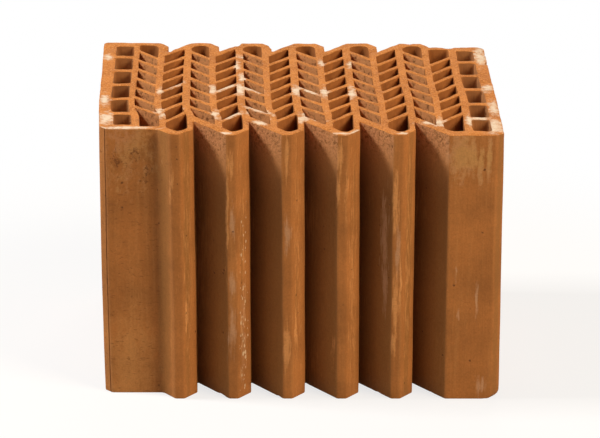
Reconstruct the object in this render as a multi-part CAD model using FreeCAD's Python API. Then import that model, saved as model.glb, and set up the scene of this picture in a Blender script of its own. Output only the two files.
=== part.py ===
"""Hollow clay block with toothed ends: an extruded column of fired clay.

The block is one plan, drawn in millimetres, pushed up along +Z. X runs across the wall that it
builds, Y along the wall, and the origin is the middle of its box on the bed face. The front end
(-Y) and the back end (+Y) carry teeth that leave room for a neighbour's teeth. Between the plain
side walls stand two columns of edge cells and twelve slot columns. The slots lean one way and then
the other, which is the herringbone that makes the heat's way through the wall long.
"""
import FreeCAD
import Part
import math
import os

# Overall size
width = 350.0            # X, over the plain side faces
length = 250.0           # Y, from the left front flat to the left back flat
height = 245.0           # Z

# Walls and ribs that run along Y
side_wall = 10.5
edge_cell_width = 15.5
rib_main = 7.0           # stands behind each front tooth's upright side
rib_mid = 5.0            # half way between two main ribs
pair_count = 6           # pairs of slot columns, one pair from main rib to main rib

# Edge cells, a column of them inside each side wall
edge_cell_length = 33.5  # the cells between the two end ones
edge_web = 7.0
edge_end_wall = 12.0

# Leaning slots, parted by webs that fall from a main rib or rise to one
web_thickness = 4.5
web_slope = 1.24         # rise along Y for each millimetre across X
web_pitch = 26.8         # along Y
first_falling_web = 26.5  # from the back line to the first web, at its main rib
first_rising_web = 43.0
least_cell = 10.0        # room that a column's last web leaves before the front walls

# Front teeth: upright right side, chamfered tip, left side leaning with the slots
front_step = 14.0        # tips and right flat stand this far before the left flat
front_root = 23.0        # depth of a groove's root behind the left flat
front_tip = 8.5          # flat on the tip
front_chamfer_run = 11.5
front_tip_wall = 9.5
front_chamfer_wall = 7.5

# Back teeth: broad flat, small chamfer on the right side
back_step = 10.0         # right flat lies this far inside the teeth
back_root = 26.0         # depth of a groove's root inside the teeth
back_flat = 20.0
back_chamfer_run = 7.5
back_side_offset = 1.25  # upright side of a tooth, right of its middle rib
back_side_wall = 7.5
back_arch_wall = 11.5    # behind a tooth's leaning side

# Walls that the slot columns end on
flat_wall = 8.0
right_front_wall = 12.0
slant_wall = 8.0

# Upright edges at the block's four corners
corner_chamfer = 6.5     # the two front corners
right_back_radius = 7.0
left_back_radius = 4.0

# Lines of the plan
left = -width / 2
right = width / 2
front_flat = -(length - front_step) / 2
front_line = front_flat - front_step
front_root_line = front_flat + front_root
back_line = front_flat + length
back_flat_line = back_line - back_step
back_root_line = back_line - back_root

tooth_count = pair_count - 1
slot_columns = 2 * pair_count
ribs_width = (pair_count + 1) * rib_main + pair_count * rib_mid
slot_width = (width - 2 * (side_wall + edge_cell_width) - ribs_width) / slot_columns
pair_pitch = rib_main + rib_mid + 2 * slot_width
first_rib = left + side_wall + edge_cell_width
front_slant_run = pair_pitch - front_tip - front_chamfer_run
front_slant_rise = front_root + front_step
back_slant_run = pair_pitch - back_flat - back_chamfer_run


def main_rib(index):
    """Left face of a main rib, counted from 0 at the left edge cells."""
    return first_rib + index * pair_pitch


def mid_rib(index):
    """Left face of the middle rib in a pair, counted from 0."""
    return main_rib(index) + rib_main + slot_width


def front_side(tooth):
    """X of a front tooth's upright side, in line with its main rib's right face."""
    return main_rib(tooth) + rib_main


def back_side(tooth):
    """X of a back tooth's upright side. Tooth 0 is the end of the left flat."""
    return mid_rib(tooth) + rib_mid + back_side_offset


def front_slant(tooth):
    """The leaning left side of a front tooth, from the root before it to its tip."""
    tip = (front_side(tooth) - front_chamfer_run - front_tip, front_line)
    root = (tip[0] - front_slant_run, front_root_line)
    return root, tip


def front_chamfer(tooth):
    tip = (front_side(tooth) - front_chamfer_run, front_line)
    return tip, (front_side(tooth), front_flat)


def back_slant(tooth):
    """The leaning left side of a back tooth, from its flat to the root before it."""
    flat = (back_side(tooth) - back_chamfer_run - back_flat, back_line)
    return flat, (flat[0] - back_slant_run, back_root_line)


def back_chamfer(tooth):
    return (back_side(tooth), back_flat_line), (back_side(tooth) - back_chamfer_run, back_line)


def outline_corners():
    """The block's outline, anticlockwise from the left front corner."""
    first_tip = front_slant(1)[1]
    slant_start = first_tip[0] - front_slant_run * front_step / front_slant_rise
    corners = [
        (left, front_flat + corner_chamfer),
        (left + corner_chamfer, front_flat),
        (slant_start, front_flat),
    ]
    for tooth in range(1, tooth_count + 1):
        corners += [front_slant(tooth)[1], *front_chamfer(tooth), (front_side(tooth), front_root_line)]
    corners += [
        front_slant(tooth_count + 1)[1],
        (right - corner_chamfer, front_line),
        (right, front_line + corner_chamfer),
        (right, back_flat_line),
    ]
    for tooth in range(tooth_count, 0, -1):
        corners += [*back_chamfer(tooth), *back_slant(tooth)]
    return corners + [*back_chamfer(0), (left, back_line)]


def inside(start, end, inset):
    """Half plane on the left of the line from start to end, moved in by inset: (nx, ny, limit)."""
    dx, dy = end[0] - start[0], end[1] - start[1]
    size = math.hypot(dx, dy)
    nx, ny = -dy / size, dx / size
    return nx, ny, nx * start[0] + ny * start[1] + inset


def clip(points, half_plane):
    """The part of a convex outline that lies inside a half plane."""
    nx, ny, limit = half_plane
    kept = []
    for here, after in zip(points, points[1:] + points[:1]):
        depth_here = nx * here[0] + ny * here[1] - limit
        depth_after = nx * after[0] + ny * after[1] - limit
        if depth_here >= 0:
            kept.append(here)
        if depth_here * depth_after < 0:
            share = depth_here / (depth_here - depth_after)
            kept.append((here[0] + share * (after[0] - here[0]), here[1] + share * (after[1] - here[1])))
    return kept


def rectangle(x_low, x_high, y_low, y_high):
    return [(x_low, y_low), (x_high, y_low), (x_high, y_high), (x_low, y_high)]


def end_walls(pair, rising):
    """Inner faces of the outer walls that close a slot column at its two ends."""
    front = inside(*front_slant(pair + 1), slant_wall)
    if rising and pair == tooth_count:
        tip = inside((left, front_line), (right, front_line), right_front_wall)
        return [front, tip, inside((right, back_flat_line), (left, back_flat_line), flat_wall)]
    if rising:
        tip = inside((left, front_line), (right, front_line), front_tip_wall)
        chamfer = inside(*front_chamfer(pair + 1), front_chamfer_wall)
        return [front, tip, chamfer, inside(*back_slant(pair + 1), slant_wall)]
    side = back_side(pair)
    back = [
        inside((right, back_line), (left, back_line), flat_wall),
        inside((side, back_root_line), (side, back_line), back_side_wall),
        inside(*back_chamfer(pair), back_side_wall),
    ]
    if pair == 0:
        return back + [inside((left, front_flat), (right, front_flat), flat_wall)]
    return back + [front, inside(*back_slant(pair), back_arch_wall)]


def column_cells(pair, rising):
    """Outlines of one slot column's cells, from the back to the front."""
    if rising:
        x_low = mid_rib(pair) + rib_mid
        web_x, web_y, slope = x_low + slot_width, back_line - first_rising_web, web_slope
        front_limit = front_flat + flat_wall + web_slope * slot_width
    else:
        x_low = main_rib(pair) + rib_main
        web_x, web_y, slope = x_low, back_line - first_falling_web, -web_slope
        slant_length = math.hypot(front_slant_run, front_slant_rise)
        front_limit = front_root_line + slant_wall * slant_length / front_slant_run
    web_count = int((web_y - front_limit - least_cell) // web_pitch) + 1

    def web_face(web, side):
        y = web_y - web * web_pitch
        return inside((web_x, y), (web_x + side, y + side * slope), web_thickness / 2)

    cells = []
    for cell in range(web_count + 1):
        outline = rectangle(x_low, x_low + slot_width, front_line, back_line)
        if cell > 0:
            outline = clip(outline, web_face(cell - 1, -1))
        if cell < web_count:
            outline = clip(outline, web_face(cell, 1))
        for wall in end_walls(pair, rising):
            outline = clip(outline, wall)
        cells.append(outline)
    return cells


def edge_cells(x_low, y_front, y_back):
    """Outlines of a column of edge cells. Its two end cells take what length is left."""
    span = y_back - y_front - 2 * edge_end_wall
    count = math.ceil((span + edge_web) / (edge_cell_length + edge_web))
    end_length = (span - (count - 1) * edge_web - (count - 2) * edge_cell_length) / 2
    y = y_front + edge_end_wall
    cells = []
    for index in range(count):
        cell_length = end_length if index in (0, count - 1) else edge_cell_length
        cells.append(rectangle(x_low, x_low + edge_cell_width, y, y + cell_length))
        y += cell_length + edge_web
    return cells


def wire(points):
    corners = [FreeCAD.Vector(x, y, 0) for x, y in points]
    return Part.makePolygon(corners + corners[:1])


def upright_edge(block, x, y):
    """The edge of the block that stands over one corner of its plan."""
    for edge in block.Edges:
        if all(math.hypot(vertex.X - x, vertex.Y - y) < 1e-6 for vertex in edge.Vertexes):
            return edge


def clay_block():
    cells = edge_cells(left + side_wall, front_flat, back_line)
    for column in range(slot_columns):
        cells += column_cells(*divmod(column, 2))
    cells += edge_cells(right - side_wall - edge_cell_width, front_line, back_flat_line)
    wires = [wire(outline_corners())] + [wire(cell) for cell in cells]
    block = Part.Face(wires, "Part::FaceMakerBullseye").extrude(FreeCAD.Vector(0, 0, height))
    block = block.makeFillet(left_back_radius, [upright_edge(block, left, back_line)])
    block = block.makeFillet(right_back_radius, [upright_edge(block, right, back_flat_line)])
    return block, len(cells)


os.makedirs("parts", exist_ok=True)
block, cell_count = clay_block()
block.exportStep("parts/clay_block.step")
print("clay_block:", len(block.Solids), "solid,", cell_count, "cells,", round(block.Volume / 1e6, 2), "l")
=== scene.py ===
import math
import bmesh
import bpy
from mathutils import Matrix, Vector


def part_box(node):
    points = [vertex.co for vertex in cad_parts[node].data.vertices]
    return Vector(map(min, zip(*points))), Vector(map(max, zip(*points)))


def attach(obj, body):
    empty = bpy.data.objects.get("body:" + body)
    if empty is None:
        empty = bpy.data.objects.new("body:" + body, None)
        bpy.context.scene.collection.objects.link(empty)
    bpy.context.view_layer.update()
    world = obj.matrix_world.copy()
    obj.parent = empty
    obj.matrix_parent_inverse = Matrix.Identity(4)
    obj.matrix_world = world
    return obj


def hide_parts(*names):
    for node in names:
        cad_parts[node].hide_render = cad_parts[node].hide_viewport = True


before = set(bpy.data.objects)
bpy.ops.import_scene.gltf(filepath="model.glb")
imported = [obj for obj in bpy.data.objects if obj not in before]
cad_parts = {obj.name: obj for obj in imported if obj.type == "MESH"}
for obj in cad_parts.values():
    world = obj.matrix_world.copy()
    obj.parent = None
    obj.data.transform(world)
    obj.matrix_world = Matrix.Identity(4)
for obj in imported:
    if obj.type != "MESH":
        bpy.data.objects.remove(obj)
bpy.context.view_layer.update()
blockLow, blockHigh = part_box("clay_block")
blockHeight = blockHigh.z
mm = 0.001
print("frame loaded, block", [round(v / mm, 1) for v in blockHigh - blockLow], "mm")

# node kinds and settings that come up often
mathNode, vectorNode, mapNode = "ShaderNodeMath", "ShaderNodeVectorMath", "ShaderNodeMapRange"
mixNode, noiseNode, cellNode = "ShaderNodeMix", "ShaderNodeTexNoise", "ShaderNodeTexVoronoi"
splitNode, joinNode, stretchNode = "ShaderNodeSeparateXYZ", "ShaderNodeCombineXYZ", "ShaderNodeMapping"
moveNode = "GeometryNodeSetPosition"
plus, minus, scaled = {"operation": "ADD"}, {"operation": "SUBTRACT"}, {"operation": "SCALE"}
times, timesPlus = {"operation": "MULTIPLY"}, {"operation": "MULTIPLY_ADD"}
largest, unsigned = {"operation": "MAXIMUM"}, {"operation": "ABSOLUTE"}
moreThan = {"data_type": "FLOAT", "operation": "GREATER_THAN"}
soft = {"interpolation_type": "SMOOTHSTEP"}
blend, tint = {"data_type": "RGBA"}, {"data_type": "RGBA", "blend_type": "MULTIPLY"}
colorOut = 2  # place of a colour Mix node's result
noiseMean = (0.5, 0.5, 0.5)


def hexColor(code):  # sRGB hex to linear RGBA
    channels = [int(code[i:i + 2], 16) / 255 for i in (1, 3, 5)]
    return [c / 12.92 if c <= 0.04045 else ((c + 0.055) / 1.055) ** 2.4 for c in channels] + [1.0]


def addNode(tree, kind, settings=(), inputs=()):  # a node with its settings, values and links
    node = tree.nodes.new(kind)
    for name, value in dict(settings).items():
        setattr(node, name, value)
    for key, value in dict(inputs).items():
        socket = node.inputs[key] if isinstance(key, int) else next(
            s for s in node.inputs if s.name == key and s.enabled)
        if isinstance(value, bpy.types.Node):
            value = next(s for s in value.outputs if s.enabled)
        if isinstance(value, bpy.types.NodeSocket):
            tree.links.new(value, socket)
        else:
            socket.default_value = value
    return node


# plan of the block, read from the CAD node's bed face
planSizes = {
    "wallStep": 3.0 * mm,     # longest straight run between two points of the outline
    "cellStep": 4.5 * mm,     # and of a cell
    "toothRadius": 3.2 * mm,  # outer edges, as the die leaves them
    "rootRadius": 1.0 * mm,
    "sweepRadius": 6.0 * mm,  # where a flat runs over into a tooth
    "sharpRadius": 0.7 * mm,  # slot corners
    "squareRadius": 2.8 * mm,
    "webRadius": 2.0 * mm,
    "archRadius": 9.0 * mm,   # blunt corners of the cells at both ends of a slot column
    "arcTurn": math.radians(18),
    "bluntAngle": math.radians(100), "squareAngle": math.radians(75),  # corners with at least this angle
    "sideShare": 0.45,        # most of a side that one corner's curve takes
    "seamX": -170.0 * mm, "seamHalf": 0.4 * mm, "seamDeep": 0.5 * mm,  # die seam
}


def readPlan(cadObject):
    # walks the bed face's edges, clay on the left hand, and gives one list of points per closed line
    bm = bmesh.new()
    bm.from_mesh(cadObject.data)
    bmesh.ops.remove_doubles(bm, verts=bm.verts, dist=1e-5)
    follows = {}
    for face in bm.faces:
        if face.normal.z < -0.9:
            for corner in face.loops:
                if abs(corner.link_loop_radial_next.face.normal.z) < 0.5:
                    follows[corner.link_loop_next.vert] = corner.vert
    lines = []
    while follows:
        start = min(follows, key=lambda v: v.index)
        line, here = [start.co.xy], follows.pop(start)
        while here != start:
            line.append(here.co.xy)
            here = follows.pop(here)
        lines.append([Vector(point) for point in line])
    bm.free()
    return lines


def cornerRadius(angle, hollow, isOutline, corners):
    if not isOutline:
        if angle > planSizes["bluntAngle"]:
            return planSizes["webRadius" if corners == 4 else "archRadius"]
        return planSizes["squareRadius" if angle > planSizes["squareAngle"] else "sharpRadius"]
    if not hollow:
        return planSizes["toothRadius"]
    return planSizes["sweepRadius" if angle > planSizes["bluntAngle"] else "rootRadius"]


def dieRounded(line, isOutline):
    # every corner becomes a short curve, and long runs get points in between
    curved = []
    for i, here in enumerate(line):
        toLast, toNext = line[i - 1] - here, line[(i + 1) % len(line)] - here
        angle = toLast.angle(toNext)
        turn = math.pi - angle
        if turn < planSizes["arcTurn"]:
            curved.append(here)
            continue
        hollow = toLast.cross(toNext) > 0
        radius = cornerRadius(angle, hollow, isOutline, len(line))
        reach = min(radius / math.tan(angle / 2), planSizes["sideShare"] * toLast.length,
                    planSizes["sideShare"] * toNext.length)
        first, last = here + toLast.normalized() * reach, here + toNext.normalized() * reach
        pieces = math.ceil(turn / planSizes["arcTurn"])
        for k in range(pieces + 1):
            t = k / pieces
            curved.append(first * (1 - t) ** 2 + here * 2 * t * (1 - t) + last * t ** 2)
    step = planSizes["wallStep" if isOutline else "cellStep"]
    full = []
    for here, after in zip(curved, curved[1:] + curved[:1]):
        count = max(1, math.ceil((after - here).length / step))
        full += [here.lerp(after, k / count) for k in range(count)]
    return full


def withSeam(line):
    # the hairline that a joint in the die draws down the left front corner, with a mark on each of its points
    middle = planSizes["seamX"]
    points, marks = [], []
    for here, after in zip(line, line[1:] + line[:1]):
        points.append(here)
        marks.append(0.0)
        if here.y < 0 and after.y < 0 and (here.x - middle) * (after.x - middle) < 0:
            spot = here.lerp(after, (middle - here.x) / (after.x - here.x))
            along = (after - here).normalized()
            side, inward = along * planSizes["seamHalf"], Vector((-along.y, along.x)) * planSizes["seamDeep"]
            points += [spot - side * 2, spot - side, spot + inward, spot + side, spot + side * 2]
            marks += [0.0, 1.0, 1.0, 1.0, 0.0]
    return points, marks


def planMesh():
    lines = readPlan(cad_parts["clay_block"])
    longest = max(lines, key=lambda line: max(p.x for p in line) - min(p.x for p in line))
    points, edges, seam = [], [], []
    for line in lines:
        ring = dieRounded(line, line is longest)
        marks = [0.0] * len(ring)
        if line is longest:
            ring, marks = withSeam(ring)
        base = len(points)
        points += [(p.x, p.y, 0) for p in ring]
        seam += marks
        edges += [(base + k, base + (k + 1) % len(ring)) for k in range(len(ring))]
    mesh = bpy.data.meshes.new("blockPlan")
    mesh.from_pydata(points, edges, [])
    mesh.attributes.new("seamLine", "FLOAT", "POINT").data.foreach_set("value", seam)
    print("plan:", len(lines), "closed lines,", len(points), "points")
    return mesh


# the plan swept up to the block, then worn and warped
blockShape = {
    "Height": blockHeight,
    "Outer Rings": 37, "Outer Crowding": 2.0,  # rings up a wall, and how they crowd towards both ends
    "Cell Rings": 13, "Cell Crowding": 3.2,
    "Outline Least": 1.0,            # only the outline is longer than this, in metres
    "Rim": 0.8 * mm,                 # softened edge of the two cut faces
    "Wave": 0.8 * mm,                # walls that aren't quite flat
    "Ragged": 0.65 * mm,             # rim torn by the cutting wire
    "Rag Depth": 6.0 * mm,           # how far down from the cut it is torn
    "Bite": 1.6 * mm,                # chips out of the outer rim
    "Cell Bite": 0.15,               # share of that in the cells
    "Corner Wear": 7.0 * mm,         # the bed's right front corner, knocked round
    "Bed Pinch": 0.012,              # the bed end shrank a little more in the kiln
    "Bed Shift": 3.2 * mm,           # the column was cut slightly out of square
    "Left Hold": -0.7,               # the left edge follows that shift late
    "Front Pinch": 2.2 * mm,         # the toothed front end drew in
    "Slot Drift": -1.8 * mm,         # the cores leaned over in the clay's flow
    "Right Back Drift": -0.6 * mm,   # less on the right
    "Right Drift": 1.0 * mm,         # the other way further forward there
    "Front Drift": 1.9 * mm,         # and at the front
    "Back Lean": 2.4 * mm,           # the left back corner pushed over towards the middle
    "Chip From": 0.58, "Chip Full": 0.76,    # noise levels where a chip starts and where it is full
    "Torn From": 0.955, "Torn Full": 0.985,  # how squarely a wall has to face the flow to be torn
    "Torn Back": 105 * mm,           # no wall behind this is torn
    "Crisp Angle": math.radians(27),  # edges that turn by more stay sharp
    "Weld": 0.02 * mm,               # points nearer than this become one
    "Seed": 7.0,
}
wearGrain = {"Wave": (75, 1.0), "Ragged": (9, 2.0), "Bite": (15, 1.5)}  # size in millimetres, noise detail
knockWay = (-1.0, 0.35, 0)       # the way that the knocked corner is set back
tornFacing = (-0.78, -0.63, 0)   # webs and teeth that face this way were torn by the clay's flow
warpSpans = {  # axis, start and end in millimetres, share at the start and at the end, slope
    "atFront": ("Y", -30, -110, 0, 1, soft), "behind": ("Y", -30, -110, 1, 0, soft),
    "ahead": ("Y", -58, -86, 0, 1, soft), "notAhead": ("Y", -58, -86, 1, 0, soft),
    "offCorner": ("X", 163, 171, 1, 0, {}),  # the right front corner kept its place
    "atLeft": ("X", -75, -115, 0, 1, {}), "offEdge": ("X", -176, -160, 0, 1, {}),
    "atBack": ("Y", -20, 105, 0, 1, {}), "inField": ("X", -149, -142, 0, 1, {}),
    "toRight": ("X", -20, 60, 0, 1, soft), "toFront": ("Y", 20, -40, 0, 1, soft),
    "offBed": ("Z", 0, 12, 0, 1, soft), "nearBed": ("Z", 5, 0, 0, 0.8, soft),
    "farRight": ("X", 150, 172, 1, 2, {}),  # more chips there
    "knockRight": ("X", 160, 175, 0, 1, {}), "knockFront": ("Y", -96, -118, 0, 1, {}),
    "rightEase": ("X", 120, 170, 1, 0.5, {}), "leftEdge": ("X", -130, -168, 0, 1, {}),
}


def blockTree(materials):
    tree = bpy.data.node_groups.new("sweptBlock", "GeometryNodeTree")
    tree.interface.new_socket("Plan", in_out="INPUT", socket_type="NodeSocketGeometry")
    for name, value in blockShape.items():
        kind = "NodeSocketInt" if isinstance(value, int) else "NodeSocketFloat"
        tree.interface.new_socket(name, in_out="INPUT", socket_type=kind)
    for name in materials:
        tree.interface.new_socket(name, in_out="INPUT", socket_type="NodeSocketMaterial")
    tree.interface.new_socket("Block", in_out="OUTPUT", socket_type="NodeSocketGeometry")
    given = addNode(tree, "NodeGroupInput").outputs
    where = addNode(tree, "GeometryNodeInputPosition")
    xyz = addNode(tree, splitNode, {}, {0: where}).outputs
    near = {name: addNode(tree, mapNode, slope, {"Value": xyz[axis], "From Min": start * mm, "From Max": end * mm,
                                                 "To Min": low, "To Max": high})
            for name, (axis, start, end, low, high, slope) in warpSpans.items()}

    # plan lines as curves whose normals lie flat
    curve = addNode(tree, "GeometryNodeMeshToCurve", {}, {"Mesh": given["Plan"]})
    around = addNode(tree, "GeometryNodeSplineLength")
    isOuter = addNode(tree, "FunctionNodeCompare", moreThan,
                      {"A": around.outputs["Length"], "B": given["Outline Least"]})
    isCell = addNode(tree, "FunctionNodeBooleanMath", {"operation": "NOT"}, {0: isOuter})

    # the plan's own warp: the front drew in, the left back corner leans, and the slots drifted sideways
    pinch = addNode(tree, mathNode, times, {0: xyz["X"], 1: -1 / blockHigh.x})
    for share in (given["Front Pinch"], near["atFront"], near["offCorner"]):
        pinch = addNode(tree, mathNode, times, {0: pinch, 1: share})
    lean = near["atLeft"]
    for share in (near["offEdge"], near["atBack"]):
        lean = addNode(tree, mathNode, times, {0: lean, 1: share})
    pinch = addNode(tree, mathNode, timesPlus, {0: lean, 1: given["Back Lean"], 2: pinch})
    pinch = addNode(tree, joinNode, {}, {"X": pinch})
    leftDrift = addNode(tree, mathNode, times, {0: near["behind"], 1: given["Slot Drift"]})
    rightDrift = addNode(tree, mixNode, {}, {"Factor": near["toFront"], "A": given["Right Back Drift"],
                                             "B": given["Right Drift"]})
    drift = addNode(tree, mixNode, {}, {"Factor": near["toRight"], "A": leftDrift, "B": rightDrift})
    for share in (near["inField"], near["notAhead"]):
        drift = addNode(tree, mathNode, times, {0: drift, 1: share})
    drift = addNode(tree, mathNode, timesPlus, {0: near["ahead"], 1: given["Front Drift"], 2: drift})
    drift = addNode(tree, joinNode, {}, {"X": drift})
    curve = addNode(tree, moveNode, {}, {"Geometry": curve, "Selection": isCell, "Offset": drift})
    curve = addNode(tree, moveNode, {}, {"Geometry": curve, "Offset": pinch})
    curve = addNode(tree, "GeometryNodeSetCurveNormal", {"mode": "Z_UP"}, {"Curve": curve})
    parted = addNode(tree, "GeometryNodeSeparateGeometry", {"domain": "CURVE"},
                     {"Geometry": curve, "Selection": isOuter})

    # upright profile: rings crowd towards both ends, where the rim turns in
    walls = []
    half = addNode(tree, mathNode, times, {0: given["Height"], 1: 0.5})
    for lines, name in zip(parted.outputs, ("Outer", "Cell")):
        rings = given[name + " Rings"]
        profile = addNode(tree, "GeometryNodeCurvePrimitiveLine", {"mode": "POINTS"})
        profile = addNode(tree, "GeometryNodeResampleCurve", {"mode": "COUNT"}, {"Curve": profile, "Count": rings})
        index = addNode(tree, "GeometryNodeInputIndex")
        last = addNode(tree, mathNode, minus, {0: rings, 1: 1.0})
        along = addNode(tree, mapNode, {}, {"Value": index, "From Max": last, "To Min": -1.0, "To Max": 1.0})
        side = addNode(tree, mathNode, {"operation": "SIGN"}, {0: along})
        away = addNode(tree, mathNode, unsigned, {0: along})
        away = addNode(tree, mathNode, minus, {0: 1.0, 1: away})
        depth = addNode(tree, mathNode, {"operation": "POWER"}, {0: away, 1: given[name + " Crowding"]})
        depth = addNode(tree, mathNode, times, {0: depth, 1: half})
        rise = addNode(tree, mathNode, minus, {0: half, 1: depth})
        rise = addNode(tree, mathNode, timesPlus, {0: rise, 1: side, 2: half})
        rise = addNode(tree, mathNode, times, {0: rise, 1: -1.0})  # a profile's Y runs down
        short = addNode(tree, mathNode, minus, {0: given["Rim"], 1: depth})
        short = addNode(tree, mathNode, largest, {0: short, 1: 0.0})
        short = addNode(tree, mathNode, times, {0: short, 1: short})
        inset = addNode(tree, mathNode, times, {0: given["Rim"], 1: given["Rim"]})
        inset = addNode(tree, mathNode, minus, {0: inset, 1: short})
        inset = addNode(tree, mathNode, {"operation": "SQRT"}, {0: inset})
        inset = addNode(tree, mathNode, minus, {0: inset, 1: given["Rim"]})
        place = addNode(tree, joinNode, {}, {"X": inset, "Y": rise})
        profile = addNode(tree, moveNode, {}, {"Geometry": profile, "Position": place})
        wall = addNode(tree, "GeometryNodeCurveToMesh", {}, {"Curve": lines, "Profile Curve": profile})
        walls.append(addNode(tree, "GeometryNodeFlipFaces", {}, {"Mesh": wall}))
    cells = addNode(tree, "GeometryNodeStoreNamedAttribute", {"data_type": "FLOAT", "domain": "FACE"},
                    {"Geometry": walls[1], "Name": "cellWall", "Value": 1.0})

    # both cut faces, filled between the rims
    facing = addNode(tree, "GeometryNodeInputNormal")
    inward = addNode(tree, mathNode, times, {0: given["Rim"], 1: -1.0})
    inward = addNode(tree, vectorNode, scaled, {"Vector": facing, "Scale": inward})
    rim = addNode(tree, moveNode, {}, {"Geometry": curve, "Offset": inward})
    bed = addNode(tree, "GeometryNodeFillCurve", {"mode": "TRIANGLES"}, {"Curve": rim})
    lift = addNode(tree, joinNode, {}, {"Z": given["Height"]})
    top = addNode(tree, moveNode, {}, {"Geometry": bed, "Offset": lift})
    bed = addNode(tree, "GeometryNodeFlipFaces", {}, {"Mesh": bed})
    joined = addNode(tree, "GeometryNodeJoinGeometry")
    for part in (walls[0], cells, top, bed):
        tree.links.new(part.outputs[0], joined.inputs[0])
    whole = addNode(tree, "GeometryNodeMergeByDistance", {}, {"Geometry": joined, "Distance": given["Weld"]})

    # wear: slow waves in the walls, a torn rim and chips, less towards the bed so that it stands flat
    below = addNode(tree, mathNode, minus, {0: given["Height"], 1: xyz["Z"]})
    nearRim = addNode(tree, mapNode, soft, {"Value": below, "From Min": given["Rag Depth"], "From Max": 0.0})
    grains = {name: addNode(tree, noiseNode, {"noise_dimensions": "4D"},
                            {"Vector": where, "W": given["Seed"], "Scale": 1 / (size * mm), "Detail": detail})
              for name, (size, detail) in wearGrain.items()}
    shifts = []
    for name, reach in (("Wave", near["offBed"]), ("Ragged", nearRim)):
        swing = addNode(tree, vectorNode, minus, {0: grains[name].outputs["Color"], 1: noiseMean})
        for share in (given[name], reach, 2.0):
            swing = addNode(tree, vectorNode, scaled, {"Vector": swing, "Scale": share})
        shifts.append(swing)
    ofCell = addNode(tree, "GeometryNodeInputNamedAttribute", {"data_type": "FLOAT"}, {"Name": "cellWall"})
    sound = addNode(tree, mapNode, {}, {"Value": ofCell, "To Min": 1.0, "To Max": given["Cell Bite"]})
    nearCut = addNode(tree, mathNode, largest, {0: nearRim, 1: near["nearBed"]})
    chip = addNode(tree, mapNode, soft, {"Value": grains["Bite"], "From Min": given["Chip From"],
                                        "From Max": given["Chip Full"]})
    for share in (near["farRight"], sound, nearCut, given["Bite"], -1.0):
        chip = addNode(tree, mathNode, times, {0: chip, 1: share})
    shifts.append(addNode(tree, vectorNode, scaled, {"Vector": facing, "Scale": chip}))

    # the knocked corner follows a quarter circle
    under = addNode(tree, mathNode, minus, {0: given["Corner Wear"], 1: xyz["Z"]})
    under = addNode(tree, mathNode, largest, {0: under, 1: 0.0})
    under = addNode(tree, mathNode, times, {0: under, 1: under})
    arc = addNode(tree, mathNode, times, {0: given["Corner Wear"], 1: given["Corner Wear"]})
    arc = addNode(tree, mathNode, minus, {0: arc, 1: under})
    arc = addNode(tree, mathNode, {"operation": "SQRT"}, {0: arc})
    knocked = addNode(tree, mathNode, minus, {0: given["Corner Wear"], 1: arc})
    for share in (near["knockRight"], near["knockFront"], sound):
        knocked = addNode(tree, mathNode, times, {0: knocked, 1: share})
    shifts.append(addNode(tree, vectorNode, scaled, {"Vector": knockWay, "Scale": knocked}))
    shift = shifts[0]
    for more in shifts[1:]:
        shift = addNode(tree, vectorNode, plus, {0: shift, 1: more})
    whole = addNode(tree, moveNode, {}, {"Geometry": whole, "Offset": shift})

    # lean and shrink of the bed end
    low = addNode(tree, mathNode, {"operation": "DIVIDE"}, {0: xyz["Z"], 1: given["Height"]})
    low = addNode(tree, mathNode, minus, {0: 1.0, 1: low})
    shrink = addNode(tree, mathNode, times, {0: xyz["X"], 1: given["Bed Pinch"]})
    shrink = addNode(tree, mathNode, times, {0: shrink, 1: near["rightEase"]})
    ease = addNode(tree, mathNode, timesPlus, {0: low, 1: given["Left Hold"], 2: 1.0})
    ease = addNode(tree, mathNode, times, {0: ease, 1: near["leftEdge"]})
    ease = addNode(tree, mathNode, minus, {0: 1.0, 1: ease})
    slide = addNode(tree, mathNode, minus, {0: given["Bed Shift"], 1: shrink})
    for share in (low, ease):
        slide = addNode(tree, mathNode, times, {0: slide, 1: share})
    slide = addNode(tree, joinNode, {}, {"X": slide})
    whole = addNode(tree, moveNode, {}, {"Geometry": whole, "Offset": slide})

    # smooth walls, crisp rims, and a finish for each way that the clay was parted
    bend = addNode(tree, "GeometryNodeInputMeshEdgeAngle")
    gentle = addNode(tree, "FunctionNodeCompare", {"data_type": "FLOAT", "operation": "LESS_THAN"},
                     {"A": bend.outputs["Unsigned Angle"], "B": given["Crisp Angle"]})
    whole = addNode(tree, "GeometryNodeSetShadeSmooth", {"domain": "FACE"}, {"Geometry": whole})
    whole = addNode(tree, "GeometryNodeSetShadeSmooth", {"domain": "EDGE"},
                    {"Geometry": whole, "Shade Smooth": gentle})
    whole = addNode(tree, "GeometryNodeRealizeInstances", {}, {"Geometry": whole})
    towards = addNode(tree, vectorNode, {"operation": "DOT_PRODUCT"}, {0: facing, 1: tornFacing})
    torn = addNode(tree, mapNode, {}, {"Value": towards, "From Min": given["Torn From"],
                                       "From Max": given["Torn Full"]})
    offBack = addNode(tree, mathNode, {"operation": "LESS_THAN"}, {0: xyz["Y"], 1: given["Torn Back"]})
    torn = addNode(tree, mathNode, times, {0: torn, 1: offBack})
    whole = addNode(tree, "GeometryNodeStoreNamedAttribute", {"data_type": "FLOAT", "domain": "FACE"},
                    {"Geometry": whole, "Name": "tornWall", "Value": torn})
    inCell = addNode(tree, "FunctionNodeCompare", moreThan, {"A": ofCell, "B": 0.5})
    level = addNode(tree, splitNode, {}, {0: facing})
    level = addNode(tree, mathNode, unsigned, {0: level.outputs["Z"]})
    isCut = addNode(tree, "FunctionNodeCompare", moreThan, {"A": level, "B": 0.5})
    for name, chosen in (("Die Skin", True), ("Slot Wall", inCell), ("Cut Face", isCut)):
        whole = addNode(tree, "GeometryNodeSetMaterial", {},
                        {"Geometry": whole, "Selection": chosen, "Material": given[name]})
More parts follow.
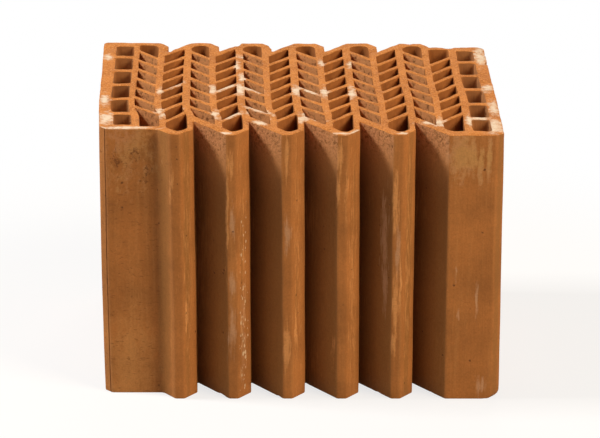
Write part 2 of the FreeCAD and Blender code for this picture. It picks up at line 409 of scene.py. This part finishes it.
    addNode(tree, "NodeGroupOutput", {}, {0: whole})
    return tree


def buildBlock(materials):
    block = bpy.data.objects.new("clayBlock", planMesh())
    bpy.context.scene.collection.objects.link(block)
    modifier = block.modifiers.new("sweptBlock", "NODES")
    modifier.node_group = blockTree(materials)
    values = {**blockShape, **materials}
    for socket in modifier.node_group.interface.items_tree:
        if socket.in_out == "INPUT" and socket.name in values:
            modifier[socket.identifier] = values[socket.name]
    bpy.context.view_layer.update()
    solved = block.evaluated_get(bpy.context.evaluated_depsgraph_get())
    mesh = bpy.data.meshes.new_from_object(solved)
    block.modifiers.remove(modifier)
    block.data = mesh
    for place in reversed(range(len(mesh.materials))):
        if mesh.materials[place] is None:  # the sweep leaves an empty slot behind
            mesh.materials.pop(index=place)
    triangles = sum(len(face.vertices) - 2 for face in mesh.polygons)
    counts = [sum(face.material_index == k for face in mesh.polygons) for k in range(len(mesh.materials))]
    print("block:", triangles, "triangles,", [(m.name, n) for m, n in zip(mesh.materials, counts)])
    return block


# ways to stretch a pattern: the share that counts along each axis
evenWay, runnyWay, hairWay, levelWay = (1, 1, 1), (1, 1, 0.55), (1, 1, 0.1), (0.3, 0.3, 1)


def newMaterial(name, look):  # a material with its noises and colours
    material = bpy.data.materials.new(name)
    material.use_nodes = True
    tree = material.node_tree
    shader = tree.nodes["Principled BSDF"]
    shader.inputs["Roughness"].default_value = look["roughness"]
    shader.inputs["Specular IOR Level"].default_value = look["specular"]
    coords = addNode(tree, "ShaderNodeTexCoord").outputs["Object"]
    noise = {}
    for key, (way, size, detail, rough) in look["noises"].items():
        place = addNode(tree, stretchNode, {}, {"Vector": coords, "Scale": way})
        noise[key] = addNode(tree, noiseNode, {}, {"Vector": place, "Scale": 1 / (size * mm), "Detail": detail,
                                                   "Roughness": rough})
    paint = {key: hexColor(code) for key, code in look["colors"].items()}
    return material, tree, shader, coords, noise, paint


def spotField(tree, coords, spots):
    # 1 in the middle of the nearest mark, 0 on its edge; a mark is a middle, half sizes and, for some, a turn
    field = None
    for middle, half, *turn in spots:
        local = addNode(tree, stretchNode, {"vector_type": "TEXTURE"},
                        {"Vector": coords, "Location": [v * mm for v in middle], "Scale": [v * mm for v in half],
                         "Rotation": (0, 0, math.radians(sum(turn)))})
        far = addNode(tree, vectorNode, {"operation": "LENGTH"}, {0: local})
        near = addNode(tree, mathNode, minus, {0: 1.0, 1: far})
        field = addNode(tree, mathNode, largest, {0: near, 1: field}) if field else near
    return field


topZ = blockHeight / mm
skinLook = {
    "colors": {"deep": "#A66934", "body": "#C17B3F", "dull": "#9A6833", "root": "#7A4C22", "pale": "#CF9052",
               "scuff": "#E8A262", "haze": "#E0B18C", "salt": "#F0D6B2", "scum": "#D6A062", "buff": "#D0976C",
               "dust": "#DE9A68", "pore": "#5A3214", "crack": "#74411C"},
    "roughness": 0.74, "tornRoughness": 0.95, "specular": 0.3,
    "tornFrom": -105, "swirlReach": (4.5, 4.5, 30), "dotGap": 2.2, "poreGap": 8, "poreBend": 3,  # millimetres
    # noises: way, size in millimetres, detail, roughness
    "noises": {"mottle": (evenWay, 38, 5, 0.6), "streak": ((1, 1, 5 / 130), 5, 4, 0.65),
               "pits": (evenWay, 2.8, 5, 0.7), "swirl": (evenWay, 13, 4, 0.6), "blotch": (runnyWay, 6, 6, 0.72),
               "rubbed": (runnyWay, 55, 3, 0.5), "crack": (levelWay, 1.5, 2, 0.5),
               # these are really about 0.5, drawn coarser so that they show
               "hair": (hairWay, 1.7, 5, 0.65), "grain": (evenWay, 1.6, 3, 0.5)},
    # where a layer comes or goes: axis, start and end in millimetres, share at the start and at the end, slope
    # the first three spans place painted shade on the teeth's sloping sides: deeper towards the groove roots,
    # deepening upwards, none near the lit top
    "spans": {"inRoot": ("Y", -122, -98, 0, 1, {}), "darker": ("Z", 40, 185, 0, 0.46, {}),
              "notTop": ("Z", 190, 228, 1, 0, soft), "dusted": ("Z", topZ - 70, topZ - 10, 0, 0.3, soft),
              "upper": ("Z", topZ - 32, topZ - 5, 0.06, 1, soft), "offFront": ("Y", -112, -90, 0.22, 1, {}),
              "onLeft": ("X", -105, -125, 0.12, 0.42, {})},
    # spots: middle and half sizes in millimetres. Rubbed streaks on the teeth and flats
    "scuffs": [((-111, -126, 200), (2.4, 12, 26)), ((-98, -128, 80), (1.6, 9, 16)), ((-63, -130, 172), (1.5, 9, 60)),
               ((-60, -132, 218), (3, 9, 16)), ((-12, -132, 224), (3, 9, 26)), ((-10, -132, 50), (4, 9, 28)),
               ((-2.3, -130, 70), (1.6, 9, 36)), ((33.5, -132, 226), (3.4, 9, 22)), ((32.5, -132, 194), (3, 9, 18)),
               ((30.5, -132, 43), (2, 9, 18)), ((82.5, -132, 184), (4, 9, 34)), ((84, -132, 89), (3.6, 9, 38)),
               ((83, -132, 53), (3, 9, 14)), ((40, -128, 190), (1.4, 9, 44)), ((88, -130, 110), (1.3, 9, 50))],
    # thin whitish film
    "hazes": [((-57.6, -132, 107), (3.4, 8, 20)), ((-58, -132, 66), (4.8, 8, 36)), ((73.5, -124, 150), (5, 9, 54)),
              ((75, -125, 104), (3, 9, 40)), ((-48.8, -122, 60), (3.6, 10, 80)), ((85.3, -132, 138), (3.6, 8, 32)),
              ((-11, -132, 153), (4, 8, 20)), ((-58, -132, 165), (3, 8, 18)), ((136, -132, 121), (2, 8, 10)),
              ((139, -132, 81), (2, 8, 10)), ((155, -132, 90), (2.2, 8, 22)), ((160, -132, 12), (7, 8, 11))],
    # salts that dried white in dots
    "saltDots": [((-48.9, -122, 78), (3.6, 10, 100)), ((-48.6, -122, 50), (4.4, 10, 64))],
    # buff scum near the top of both flats
    "scumLeft": [((-146, -118, 228), (32, 9, 56))],
    "scumRight": [((137, -132, 228), (15, 9, 32)), ((147, -132, 227), (8, 9, 29)), ((155, -132, 218), (4, 9, 26)),
                  ((162, -132, 224), (3.4, 9, 30))],
    # broad scum on the sides and the back, and scattered rubbed streaks there and on the teeth
    "sideScum": [((175, 30, 244), (9, 120, 46)), ((-175, -10, 244), (9, 120, 46)), ((-110, 132, 244), (70, 9, 40)),
                 ((60, 132, 244), (80, 9, 36)), ((150, 122, 244), (34, 9, 44))],
    "sideRub": [((175, -60, 130), (9, 70, 120)), ((175, 70, 90), (9, 60, 100)), ((-175, -50, 120), (9, 70, 120)),
                ((-175, 70, 150), (9, 60, 100)), ((-110, 132, 120), (70, 9, 130)), ((40, 132, 130), (100, 9, 130)),
                ((150, 122, 120), (34, 9, 120))],
    "toothRub": [((-99.5 + 48.5 * tooth, -126, 122), (13, 10, 260)) for tooth in range(5)],
    # rough patches near the top of the left flat, and its paler lower part, which is painted light from the floor
    # below
    "rough": [((-158, -118, 215), (16, 9, 18)), ((-143, -118, 222), (10, 9, 14)), ((-131, -118, 205), (9, 9, 18))],
    "worn": [((-146, -118, 18), (36, 9, 114))],
    # a duller tint where the left flat runs over into the first tooth, which is painted shade from that tooth, and on
    # chamfers that took less rubbing
    "flank": [((-117, -124, 122), (11, 14, 400)), ((-98, -125, 122), (6, 9, 400)), ((95, -125, 122), (5, 8, 400)),
              ((172, -129, 122), (5, 6, 400))],
    # marks in the order that they lie on the clay: spots, noise and its weight, where the mask starts and is full,
    # the most that it covers, colour
    # the first mark is partly painted shade beside the first tooth, the second is painted light on the left flat's
    # lower part
    "marks": [("flank", "blotch", 0.8, 0.6, 1.1, 0.6, "dull"), ("worn", "blotch", 1.6, 0.9, 1.9, 0.8, "pale"),
              ("scumLeft", "blotch", 3.4, 1.95, 2.7, 0.5, "film"),
              ("scumRight", "blotch", 2.2, 1.2, 1.75, 0.7, "film"),
              ("hazes", "hair", 2.6, 1.35, 2.2, 0.5, "haze"), ("scuffs", "hair", 2.6, 1.35, 2.05, 0.78, "scuff"),
              ("sideScum", "blotch", 3.4, 2.05, 2.9, 0.45, "film"),
              ("sideRub", "hair", 3.4, 2.45, 3.1, 0.55, "scuff"),
              ("toothRub", "hair", 3.4, 2.25, 3.05, 0.55, "scuff"),
              ("toothRub", "streak", -3.4, -0.95, -0.3, 0.5, "dull"),
              ("saltDots", "dots", 1.9, 1.35, 1.8, 0.68, "salt"),
              ("rough", "pits", -3.2, -0.95, -0.55, 0.75, "crack")],
}


def dieSkin():
    # clay that slid along a steel die: closed, streaked upright, dull, rubbed pale on the teeth
    look = skinLook
    material, tree, shader, coords, noise, paint = newMaterial("firedClayDieSkin", look)
    xyz = addNode(tree, splitNode, {}, {0: coords}).outputs
    near = {name: addNode(tree, mapNode, slope, {"Value": xyz[axis], "From Min": start * mm, "From Max": end * mm,
                                                 "To Min": low, "To Max": high})
            for name, (axis, start, end, low, high, slope) in look["spans"].items()}
    shade = addNode(tree, mapNode, {}, {"Value": noise["mottle"], "From Min": 0.34, "From Max": 0.66})
    color = addNode(tree, mixNode, blend, {"Factor": shade, "A": paint["deep"], "B": paint["body"]})
    lines = addNode(tree, mapNode, {}, {"Value": noise["streak"], "From Min": 0.5, "From Max": 0.75, "To Max": 0.34})
    layers = [(lines, paint["pale"])]  # how much of what covers the clay, from the lowest up

    # the teeth's sloping sides: a duller tint, deeper still towards the groove roots, and a darkening upwards that
    # fades out just below the cut, all of it painted shade; and torn, dusty and pitted near the cut
    torn = addNode(tree, "ShaderNodeAttribute", {"attribute_name": "tornWall"}).outputs["Fac"]
    inTeeth = addNode(tree, mathNode, {"operation": "GREATER_THAN"}, {0: xyz["X"], 1: look["tornFrom"] * mm})
    torn = addNode(tree, mathNode, times, {0: torn, 1: inTeeth})
    slantShade = addNode(tree, mathNode, times, {0: torn, 1: 0.75})
    shaded = addNode(tree, mixNode, blend, {"Factor": near["inRoot"], "A": paint["dull"], "B": paint["root"]})
    darker = near["darker"]
    for share in (near["notTop"], slantShade):
        darker = addNode(tree, mathNode, times, {0: darker, 1: share})
    dusted = addNode(tree, mathNode, times, {0: torn, 1: near["dusted"]})
    layers += [(slantShade, shaded), (darker, paint["pore"]), (dusted, paint["dust"])]
    torn = addNode(tree, mathNode, times, {0: torn, 1: near["upper"]})
    for name, start, full, most in (("dust", 0.38, 0.62, 0.75), ("pore", 0.46, 0.36, 0.6)):
        grainy = addNode(tree, mapNode, {}, {"Value": noise["pits"], "From Min": start, "From Max": full,
                                             "To Max": most})
        grainy = addNode(tree, mathNode, times, {0: grainy, 1: torn})
        layers.append((grainy, paint[name]))

    # rubbed hairlines, most of them off the front
    rubbed = addNode(tree, mathNode, timesPlus, {0: noise["hair"], 1: 1.1, 2: noise["rubbed"]})
    rubbed = addNode(tree, mapNode, soft, {"Value": rubbed, "From Min": 1.12, "From Max": 1.4, "To Max": 0.4})
    rubbed = addNode(tree, mathNode, times, {0: rubbed, 1: near["offFront"]})
    layers.append((rubbed, paint["scuff"]))

    # marks, each with a noise in it, so that none has a clean outline
    swirl = addNode(tree, vectorNode, minus, {0: noise["swirl"].outputs["Color"], 1: noiseMean})
    swirl = addNode(tree, vectorNode, timesPlus, {0: swirl, 1: [v * mm for v in look["swirlReach"]], 2: coords})
    drops = addNode(tree, stretchNode, {}, {"Vector": coords, "Scale": runnyWay})
    drops = addNode(tree, cellNode, {}, {"Vector": drops, "Scale": 1 / (look["dotGap"] * mm)})
    rim = addNode(tree, "ShaderNodeSeparateColor", {}, {0: drops.outputs["Color"]})
    rim = addNode(tree, mathNode, times, {0: rim.outputs["Red"], 1: 0.75})  # each dot has its own size
    rim = addNode(tree, mathNode, timesPlus, {0: noise["hair"], 1: 0.8, 2: rim})
    noise["dots"] = addNode(tree, mathNode, minus, {0: rim, 1: drops.outputs["Distance"]})
    film = addNode(tree, mapNode, {}, {"Value": noise["mottle"], "From Min": 0.42, "From Max": 0.58})
    paint["film"] = addNode(tree, mixNode, blend, {"Factor": film, "A": paint["scum"], "B": paint["buff"]})
    masks = {}
    for spots, texture, weight, start, full, most, name in look["marks"]:
        field = spotField(tree, swirl, look[spots])
        field = addNode(tree, mathNode, timesPlus, {0: noise[texture], 1: weight, 2: field})
        masks[spots] = addNode(tree, mapNode, soft, {"Value": field, "From Min": start, "From Max": full,
                                                     "To Max": most})
        layers.append((masks[spots], paint[name]))

    # short level cracks where the skin dragged on the die, a few open pores, and the broken line of the die's seam
    crack = addNode(tree, mapNode, soft, {"Value": noise["crack"], "From Min": 0.62, "From Max": 0.72})
    crack = addNode(tree, mathNode, times, {0: crack, 1: near["onLeft"]})
    bent = addNode(tree, vectorNode, scaled, {"Vector": noise["pits"].outputs["Color"],
                                              "Scale": look["poreBend"] * mm})
    bent = addNode(tree, vectorNode, plus, {0: coords, 1: bent})
    holes = addNode(tree, cellNode, {}, {"Vector": bent, "Scale": 1 / (look["poreGap"] * mm)})
    wide = addNode(tree, "ShaderNodeSeparateColor", {}, {0: holes.outputs["Color"]})
    wide = addNode(tree, mapNode, {}, {"Value": wide.outputs["Red"], "From Min": 0.66, "To Max": 0.14})
    pore = addNode(tree, mathNode, minus, {0: wide, 1: holes.outputs["Distance"]})
    pore = addNode(tree, mapNode, soft, {"Value": pore, "From Min": -0.04, "From Max": 0.05})
    dark = addNode(tree, mathNode, times, {0: pore, 1: 0.7})
    seam = addNode(tree, "ShaderNodeAttribute", {"attribute_name": "seamLine"}).outputs["Fac"]
    gap = addNode(tree, mapNode, {}, {"Value": noise["blotch"], "From Min": 0.4, "From Max": 0.56, "To Min": 0.25,
                                      "To Max": 0.7})
    seam = addNode(tree, mathNode, times, {0: seam, 1: gap})
    layers += [(crack, paint["crack"]), (dark, paint["pore"]), (seam, paint["pore"])]
    for share, over in layers:
        color = addNode(tree, mixNode, blend, {"Factor": share, "A": color, "B": over})
    speck = addNode(tree, mapNode, {}, {"Value": noise["grain"], "From Min": 0.3, "From Max": 0.7, "To Min": 0.9,
                                        "To Max": 1.06})
    color = addNode(tree, mixNode, tint, {"Factor": 1.0, "A": color, "B": speck})
    tree.links.new(color.outputs[colorOut], shader.inputs["Base Color"])
    gloss = addNode(tree, mapNode, {}, {"Value": torn, "To Min": look["roughness"], "To Max": look["tornRoughness"]})
    tree.links.new(gloss.outputs[0], shader.inputs["Roughness"])

    relief = addNode(tree, mathNode, times, {0: noise["grain"], 1: 0.5})
    relief = addNode(tree, mathNode, timesPlus, {0: noise["streak"], 1: 1.2, 2: relief})
    for dent in (pore, crack, masks["rough"]):
        relief = addNode(tree, mathNode, minus, {0: relief, 1: dent})
    rough = addNode(tree, mathNode, times, {0: noise["pits"], 1: torn})
    relief = addNode(tree, mathNode, timesPlus, {0: rough, 1: 5.0, 2: relief})
    bump = addNode(tree, "ShaderNodeBump", {}, {"Strength": 0.7, "Distance": 0.5 * mm, "Height": relief})
    tree.links.new(bump.outputs[0], shader.inputs["Normal"])
    return material


slotLook = {
    "colors": {"deep": "#8C5226", "body": "#B27038", "dust": "#E2A067", "pore": "#6A3918", "lime": "#C79F74"},
    "roughness": 0.88, "specular": 0.2,
    "edgeFrom": 144, "edgeTo": 150,  # millimetres from the middle; the edge cells are a little paler with lime
    "noises": {"mottle": (evenWay, 18, 5, 0.65), "pits": (evenWay, 4.5, 5, 0.7),
               # really about 1, drawn coarser so that it shows
               "scratch": ((1, 1, 2.4 / 40), 2.4, 3, 0.5)},
}


def slotWall():
    # clay that the die's cores parted: dragged smooth on one side of a web, torn, pitted and dusty on the other
    look = slotLook
    material, tree, shader, coords, noise, paint = newMaterial("firedClaySlotWall", look)
    shade = addNode(tree, mapNode, {}, {"Value": noise["mottle"], "From Min": 0.35, "From Max": 0.65})
    color = addNode(tree, mixNode, blend, {"Factor": shade, "A": paint["deep"], "B": paint["body"]})
    torn = addNode(tree, "ShaderNodeAttribute", {"attribute_name": "tornWall"}).outputs["Fac"]
    dusty = addNode(tree, mapNode, {}, {"Value": torn, "To Min": 0.08, "To Max": 0.78})
    across = addNode(tree, splitNode, {}, {0: coords})
    across = addNode(tree, mathNode, unsigned, {0: across.outputs["X"]})
    atEdge = addNode(tree, mapNode, {}, {"Value": across, "From Min": look["edgeFrom"] * mm,
                                         "From Max": look["edgeTo"] * mm, "To Max": 0.2})
    hole = addNode(tree, mapNode, {}, {"Value": noise["pits"], "From Min": 0.48, "From Max": 0.34, "To Max": 0.85})
    hole = addNode(tree, mathNode, times, {0: hole, 1: torn})
    for share, name in ((dusty, "dust"), (atEdge, "lime"), (hole, "pore")):
        color = addNode(tree, mixNode, blend, {"Factor": share, "A": color, "B": paint[name]})
    tree.links.new(color.outputs[colorOut], shader.inputs["Base Color"])
    rough = addNode(tree, mapNode, {}, {"Value": torn, "To Min": 0.5, "To Max": 3.0})
    relief = addNode(tree, mathNode, timesPlus, {0: noise["pits"], 1: rough, 2: noise["scratch"]})
    bump = addNode(tree, "ShaderNodeBump", {}, {"Strength": 0.8, "Distance": 0.6 * mm, "Height": relief})
    tree.links.new(bump.outputs[0], shader.inputs["Normal"])
    return material


cutLook = {
    "colors": {"deep": "#B0672A", "body": "#CC7E3A", "bright": "#E29C58", "salt": "#F0DDC4", "grit": "#7E451D"},
    "roughness": 0.9, "specular": 0.2, "gritGap": 3.2,  # the gap in millimetres
    "noises": {"mottle": (evenWay, 22, 4, 0.5), "spread": (evenWay, 6, 6, 0.7),
               # really about 0.5, drawn coarser so that it shows
               "grain": (evenWay, 1.8, 4, 0.7)},
    # salt bloom on the top: middle, core's half sizes in millimetres, turn; it spreads past the core
    "bloom": [((x, y, topZ), (1.6 * wide, 1.6 * long, 40), turn) for x, y, wide, long, turn in (
        (-170, 86, 4, 8, 0), (-170, -36, 4, 16, 0), (-168, -90, 7, 16, 0), (-150, -115, 24, 4, 0),
        (-122, -70, 4, 10, 0), (-122, -13, 3, 7, 0), (-75, -9, 4, 11, 0), (-74, -78, 4, 11, 0),
        (-51, -7, 5, 16, 0), (-49, 27, 3, 14, 0), (-53, 63, 3, 14, 0), (-34, -100, 6, 6, 0), (0, -10, 5, 13, 0),
        (2, -91, 6, 9, 0), (24, 71, 3, 9, 0), (24, -14, 5, 14, 0), (48, -17, 4, 16, 0), (50, 67, 3, 9, 0),
        (121, -97, 5, 11, 0), (110, -99, 8, 5, 0), (147, -93, 3, 14, 0), (156, -86, 7, 5, 0),
        (168, -107, 7, 20, 0), (170, 95, 6, 26, 0), (170, -2, 5, 10, 0), (171, -60, 4, 22, 0),
        (-111, 4, 13, 5, 51), (-64, -2, 14, 5, 51), (-60, -80, 13, 5, 51), (-113, -73, 13, 5, 51),
        (-40, -6, 14, 5, -51), (-35, -65, 16, 5, -51), (-35, -80, 14, 5, -51), (13, -14, 13, 5, -51),
        (35, -16, 13, 5, 51), (11, -83, 14, 5, -51), (-42, 83, 14, 5, -51),
        (36, -128, 8, 3, 0), (47, -122, 8, 3, 50), (-64, -128, 6, 3, 0), (88, -128, 5, 3, 0))],
}


def wireCutFace():
    # the face that the cutting wire tore open: grainy, brighter, with salts that bloomed at damp spots
    look = cutLook
    material, tree, shader, coords, noise, paint = newMaterial("firedClayWireCut", look)
    shade = addNode(tree, mapNode, {}, {"Value": noise["mottle"], "From Min": 0.35, "From Max": 0.65})
    color = addNode(tree, mixNode, blend, {"Factor": shade, "A": paint["deep"], "B": paint["body"]})
    speck = addNode(tree, mapNode, {}, {"Value": noise["grain"], "From Min": 0.46, "From Max": 0.66})
    grit = addNode(tree, cellNode, {}, {"Vector": coords, "Scale": 1 / (look["gritGap"] * mm)})
    wide = addNode(tree, "ShaderNodeSeparateColor", {}, {0: grit.outputs["Color"]})
    wide = addNode(tree, mapNode, {}, {"Value": wide.outputs["Red"], "From Min": 0.55, "To Max": 0.36})
    pit = addNode(tree, mathNode, {"operation": "LESS_THAN"}, {0: grit.outputs["Distance"], 1: wide})
    pit = addNode(tree, mathNode, times, {0: pit, 1: 0.42})
    salt = addNode(tree, mathNode, timesPlus, {0: noise["spread"], 1: 2.4, 2: spotField(tree, coords, look["bloom"])})
    salt = addNode(tree, mapNode, soft, {"Value": salt, "From Min": 1.3, "From Max": 2.15, "To Max": 0.9})
    for share, name in ((speck, "bright"), (pit, "grit"), (salt, "salt")):
        color = addNode(tree, mixNode, blend, {"Factor": share, "A": color, "B": paint[name]})
    tree.links.new(color.outputs[colorOut], shader.inputs["Base Color"])
    relief = addNode(tree, mathNode, timesPlus, {0: noise["spread"], 1: 1.5, 2: noise["grain"]})
    relief = addNode(tree, mathNode, minus, {0: relief, 1: pit})
    bump = addNode(tree, "ShaderNodeBump", {}, {"Strength": 0.8, "Distance": 0.7 * mm, "Height": relief})
    tree.links.new(bump.outputs[0], shader.inputs["Normal"])
    return material


finishes = {"Die Skin": dieSkin(), "Slot Wall": slotWall(), "Cut Face": wireCutFace()}
print("materials:", [m.name for m in finishes.values()])
block = buildBlock(finishes)

# camera, as the photograph was taken
cameraSet = {
    "elevation": 20.005, "yaw": 1.729, "roll": 0.688,  # degrees
    "distance": 3.24492, "right": 3.997 * mm, "up": -2.2 * mm, "clipEnd": 50,  # metres
    "focalPixels": 3600, "imageWidth": 600, "sensorWidth": 36,  # the sensor in millimetres
}


def placeCamera(view):
    elevation, yaw, roll = (math.radians(view[key]) for key in ("elevation", "yaw", "roll"))
    forward = Vector((math.sin(yaw) * math.cos(elevation), math.cos(yaw) * math.cos(elevation), -math.sin(elevation)))
    flat = Vector((math.cos(yaw), -math.sin(yaw), 0))
    upright = flat.cross(forward)
    right = flat * math.cos(roll) + upright * math.sin(roll)
    up = upright * math.cos(roll) - flat * math.sin(roll)
    lens = bpy.data.cameras.new("photoCamera")
    lens.sensor_width = view["sensorWidth"]
    lens.lens = view["sensorWidth"] * view["focalPixels"] / view["imageWidth"]
    lens.clip_end = view["clipEnd"]
    camera = bpy.data.objects.new("photoCamera", lens)
    spot = Vector((0, 0, blockHeight / 2)) - forward * view["distance"] + right * view["right"] + up * view["up"]
    camera.matrix_world = Matrix.Translation(spot) @ Matrix((right, up, -forward)).transposed().to_4x4()
    bpy.context.scene.collection.objects.link(camera)
    bpy.context.scene.camera = camera


placeCamera(cameraSet)
print("camera placed")

lampSet = {  # where it stands from the block's middle, metres; size in metres; watts; colour
    "leftSoftbox": ((-1.82, 0.0, 1.86), 0.50, 56, "#FFFCF8"),
    "rightFrontSoftbox": ((1.72, -1.25, 1.49), 1.20, 49, "#FFEBCB"),
    "frontLeftSoftbox": ((-2.13, -0.99, 0.50), 2.00, 8, "#FFF2E0"),
    "backSoftbox": ((0.40, 2.40, 0.75), 1.40, 24, "#FFF8F0"),
}
stageSet = {  # metres
    "world": 0.05, "floorSeen": "#F7F7F7", "floorBounce": "#ABA7A1", "floorSize": 14.0,
    "footprint": (0.168, 0.093, 1.0),          # half sizes of the ground that the block covers
    "shadowShare": 0.25,                       # how much of its shadow the floor shows near the block
    "shadowReach": 0.30, "plainReach": 0.62,   # between these it turns plain white
}


def softLight():
    middle = Vector((0, 0, blockHeight / 2))
    for name, (offset, size, watts, glowColor) in lampSet.items():
        light = bpy.data.lights.new(name, "AREA")
        light.size, light.energy, light.color = size, watts, hexColor(glowColor)[:3]
        lamp = bpy.data.objects.new(name, light)
        lamp.location = middle + Vector(offset)
        lamp.rotation_euler = (-Vector(offset)).to_track_quat("-Z", "Y").to_euler()
        bpy.context.scene.collection.objects.link(lamp)
    world = bpy.data.worlds.new("studio")
    world.use_nodes = True
    bpy.context.scene.world = world
    tree = world.node_tree
    path = addNode(tree, "ShaderNodeLightPath").outputs
    seen = addNode(tree, mathNode, largest, {0: path["Is Camera Ray"], 1: path["Is Glossy Ray"]})
    strength = addNode(tree, mapNode, {}, {"Value": seen, "To Min": stageSet["world"], "To Max": 1.0})
    tree.nodes["Background"].inputs["Color"].default_value = (1, 1, 1, 1)
    tree.links.new(strength.outputs[0], tree.nodes["Background"].inputs["Strength"])


def paleFloor():
    half = stageSet["floorSize"] / 2
    mesh = bpy.data.meshes.new("studioFloor")
    mesh.from_pydata([(-half, -half, 0), (half, -half, 0), (half, half, 0), (-half, half, 0)], [], [(0, 1, 2, 3)])
    floor = bpy.data.objects.new("studioFloor", mesh)
    bpy.context.scene.collection.objects.link(floor)
    material = bpy.data.materials.new("whitePaintedFloor")  # matt white, shown almost shadowless to the camera
    material.use_nodes = True
    tree = material.node_tree
    tree.nodes.remove(tree.nodes["Principled BSDF"])
    path = addNode(tree, "ShaderNodeLightPath").outputs
    seen = addNode(tree, mathNode, largest, {0: path["Is Camera Ray"], 1: path["Is Glossy Ray"]})
    paint = addNode(tree, mixNode, blend, {"Factor": seen, "A": hexColor(stageSet["floorBounce"]),
                                           "B": hexColor(stageSet["floorSeen"])})
    matt = addNode(tree, "ShaderNodeBsdfDiffuse", {}, {"Color": paint})
    glow = addNode(tree, "ShaderNodeEmission", {}, {"Color": (1, 1, 1, 1), "Strength": 1.0})
    coords = addNode(tree, "ShaderNodeTexCoord").outputs["Object"]
    far = addNode(tree, vectorNode, {"operation": "LENGTH"}, {0: coords})
    share = addNode(tree, mapNode, soft, {"Value": far, "From Min": stageSet["shadowReach"],
                                          "From Max": stageSet["plainReach"],
                                          "To Min": 1 - stageSet["shadowShare"], "To Max": 1.0})
    foot = addNode(tree, vectorNode, {"operation": "DIVIDE"}, {0: coords, 1: stageSet["footprint"]})
    foot = addNode(tree, vectorNode, unsigned, {0: foot})
    foot = addNode(tree, splitNode, {}, {0: foot}).outputs
    foot = addNode(tree, mathNode, largest, {0: foot["X"], 1: foot["Y"]})
    clear = addNode(tree, mathNode, {"operation": "GREATER_THAN"}, {0: foot, 1: 1.0})  # no glow inside the cells
    for mask in (seen, clear):
        share = addNode(tree, mathNode, times, {0: mask, 1: share})
    both = addNode(tree, "ShaderNodeMixShader", {}, {0: share, 1: matt, 2: glow})
    tree.links.new(both.outputs[0], tree.nodes["Material Output"].inputs["Surface"])
    mesh.materials.append(material)
    return floor


softLight()
floor = paleFloor()
bpy.context.scene.view_settings.view_transform = "Standard"
print("stage ready")

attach(block, "root")
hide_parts("clay_block")
